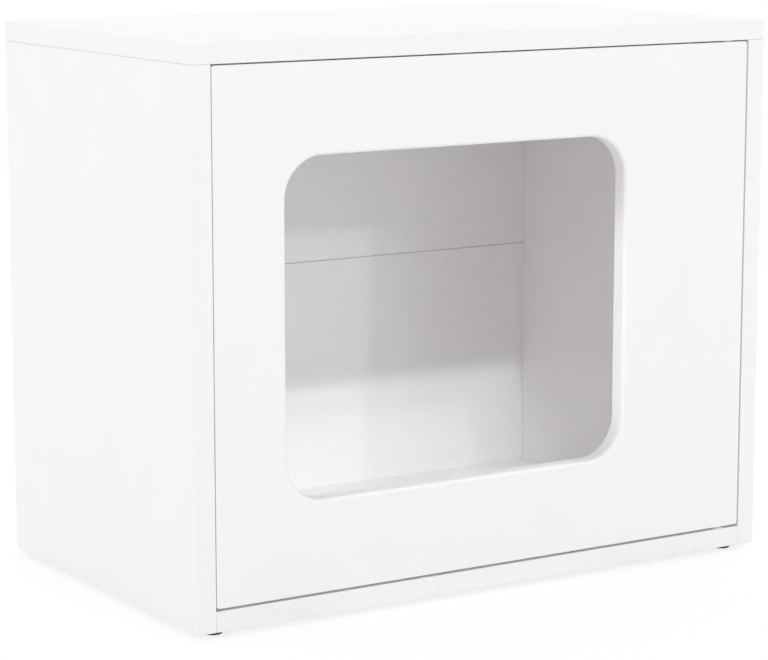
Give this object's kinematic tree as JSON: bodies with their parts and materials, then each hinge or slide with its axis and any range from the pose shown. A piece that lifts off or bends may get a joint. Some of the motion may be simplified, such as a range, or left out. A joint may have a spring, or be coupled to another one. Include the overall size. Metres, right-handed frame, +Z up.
{
  "type": "cat litter box cabinet",
  "caption": "White boxed cabinet on low feet that hides a cat litter tray, with an inset swinging door that has an off-centre rounded entrance.",
  "frame": {"origin": "on the floor under the middle of the cabinet's box", "axes": "+X to the right as seen from the front, +Y from the door towards the back, +Z up"},
  "size_m": [0.6, 0.3572, 0.5],
  "materials": {
    "white_board": "engineered wood board faced in white melamine, satin",
    "door_board": "fibreboard in smooth white foil, satin",
    "back_board": "thin fibreboard, white on its inner face, satin",
    "foot_plastic": "dark moulded plastic, matt",
    "steel": "zinc-plated steel",
    "zinc": "zinc die casting, satin",
    "nylon": "natural white nylon",
    "beech": "bare beech",
    "ferrite": "sintered ferrite, matt dark grey"
  },
  "bodies": {
    "cabinet": {"top_panel": "white_board", "bottom_panel": "white_board", "left_side_panel": "white_board", "right_side_panel": "white_board", "upper_back_board": "back_board", "lower_back_board": "back_board", "foot_front_left": "foot_plastic", "foot_front_right": "foot_plastic", "foot_rear_left": "foot_plastic", "foot_rear_right": "foot_plastic", "cam_bolt_top_left_front": "steel", "cam_bolt_top_left_rear": "steel", "cam_bolt_top_right_front": "steel", "cam_bolt_top_right_rear": "steel", "cam_bolt_bottom_left_front": "steel", "cam_bolt_bottom_left_rear": "steel", "cam_bolt_bottom_right_front": "steel", "cam_bolt_bottom_right_rear": "steel", "back_screw_upper_left_high": "steel", "back_screw_upper_left_low": "steel", "back_screw_upper_right_high": "steel", "back_screw_upper_right_low": "steel", "back_screw_upper_middle": "steel", "back_screw_lower_left_high": "steel", "back_screw_lower_left_low": "steel", "back_screw_lower_right_high": "steel", "back_screw_lower_right_low": "steel", "back_screw_lower_middle": "steel", "catch_screw_upper": "steel", "catch_screw_lower": "steel", "catch_pole_plate_outer": "steel", "catch_pole_plate_inner": "steel", "cam_top_left_front": "zinc", "cam_top_left_rear": "zinc", "cam_top_right_front": "zinc", "cam_top_right_rear": "zinc", "cam_bottom_left_front": "zinc", "cam_bottom_left_rear": "zinc", "cam_bottom_right_front": "zinc", "cam_bottom_right_rear": "zinc", "dowel_top_left_front": "beech", "dowel_top_left_rear": "beech", "dowel_top_right_front": "beech", "dowel_top_right_rear": "beech", "dowel_bottom_left_front": "beech", "dowel_bottom_left_rear": "beech", "dowel_bottom_right_front": "beech", "dowel_bottom_right_rear": "beech", "upper_pivot_bush": "nylon", "lower_pivot_bush": "nylon", "pivot_washer": "nylon", "catch_housing": "nylon", "catch_magnet": "ferrite"},
    "door": {"door_panel": "door_board", "upper_pivot_pin": "steel", "lower_pivot_pin": "steel", "strike_plate": "steel", "strike_screw": "steel"}
  },
  "joints": [
    {"name": "door_swing", "type": "hinge", "parent": "cabinet", "child": "door", "pos_m": [0.2602, -0.17055, 0.2525], "axis": [0, 0, 1], "range_deg": [0, 110]}
  ]
}
